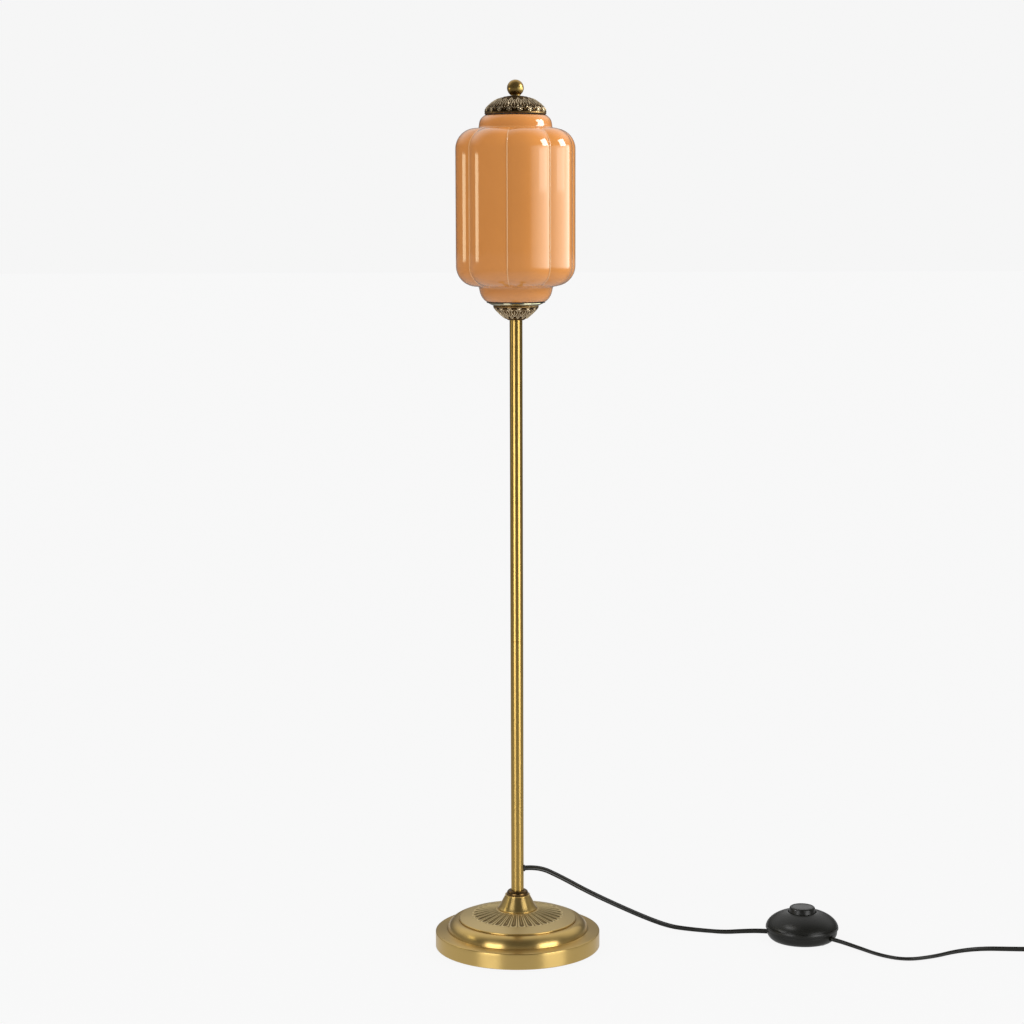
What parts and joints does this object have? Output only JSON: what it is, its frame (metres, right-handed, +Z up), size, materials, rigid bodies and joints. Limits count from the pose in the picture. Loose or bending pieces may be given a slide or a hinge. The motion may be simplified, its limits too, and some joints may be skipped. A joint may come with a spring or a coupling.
{
  "type": "glass floor lamp",
  "caption": "Floor lamp: weighted round brass base, slim pole and an upright lobed glass shade under a domed cap, with a cord-mounted foot switch.",
  "frame": {"origin": "on the floor, at the middle of the round base, on the pole's axis", "axes": "+Z up along the pole; +X towards the foot switch and the plug end of the cord"},
  "size_m": [1.0253, 0.2493, 1.2977],
  "materials": {
    "satin_brass": "brushed satin, lacquered",
    "polished_brass": "polished",
    "antique_brass": "darkened, relief rubbed bright",
    "shade_glass": "glossy opal cased glass, peach",
    "bulb_glass": "frosted",
    "cast_iron": "painted black",
    "zinc_steel": "zinc plated",
    "black_rubber": "matte",
    "black_plastic": "satin moulded",
    "cream_ceramic": "glazed insulator",
    "felt": "pressed felt",
    "flex": "satin PVC flex",
    "blade_brass": "bright"
  },
  "bodies": {
    "lamp": {"base_cover": "satin_brass", "base_weight": "cast_iron", "base_pad": "felt", "base_washer": "zinc_steel", "base_nut": "zinc_steel", "base_rod": "zinc_steel", "hub_cone": "satin_brass", "hub_collar": "antique_brass", "pole_lower": "satin_brass", "pole_upper": "satin_brass", "pole_joiner": "zinc_steel", "pole_foot_plug": "zinc_steel", "pole_head_plug": "zinc_steel", "cord_bush": "black_plastic", "inner_lead": "flex", "bottom_cup": "antique_brass", "gallery_plate": "polished_brass", "gallery_gasket": "black_rubber", "head_rod": "zinc_steel", "head_nut": "zinc_steel", "harp": "polished_brass", "lampholder_shell": "polished_brass", "lampholder_core": "cream_ceramic", "holder_nut": "zinc_steel", "switch_base": "black_plastic", "switch_cover": "black_plastic", "switch_module": "cream_ceramic", "switch_screws": "zinc_steel", "switch_pads": "black_rubber", "cord_clamps": "black_plastic", "switch_spring": "zinc_steel", "cord_to_switch": "flex", "cord_from_switch": "flex", "cord_coil": "flex", "plug_body": "black_plastic", "plug_blades": "blade_brass"},
    "bulb": {"bulb_cap": "zinc_steel", "bulb_glass": "bulb_glass"},
    "shade": {"glass_shade": "shade_glass", "cap_gasket": "black_rubber"},
    "cap": {"top_cap": "antique_brass"},
    "finial": {"finial_ball": "antique_brass"},
    "button": {"switch_button": "black_plastic"}
  },
  "joints": [
    {"name": "shade_lift", "type": "slide", "parent": "lamp", "child": "shade", "axis": [0, 0, 1], "range_m": [0, 0.32]},
    {"name": "cap_lift", "type": "slide", "parent": "shade", "child": "cap", "axis": [0, 0, 1], "range_m": [0, 0.05]},
    {"name": "finial_turn", "type": "hinge", "parent": "cap", "child": "finial", "pos_m": [0, 0, 1.286], "axis": [0, 0, 1], "range_deg": [0, 1440]},
    {"name": "bulb_unscrew", "type": "slide", "parent": "lamp", "child": "bulb", "axis": [0, 0, 1], "range_m": [0, 0.026]},
    {"name": "button_press", "type": "slide", "parent": "lamp", "child": "button", "axis": [0, 0, -1], "range_m": [0, 0.003], "stiffness_N_per_m": 900, "springref_m": -0.004, "deforming": ["switch_spring"]}
  ]
}
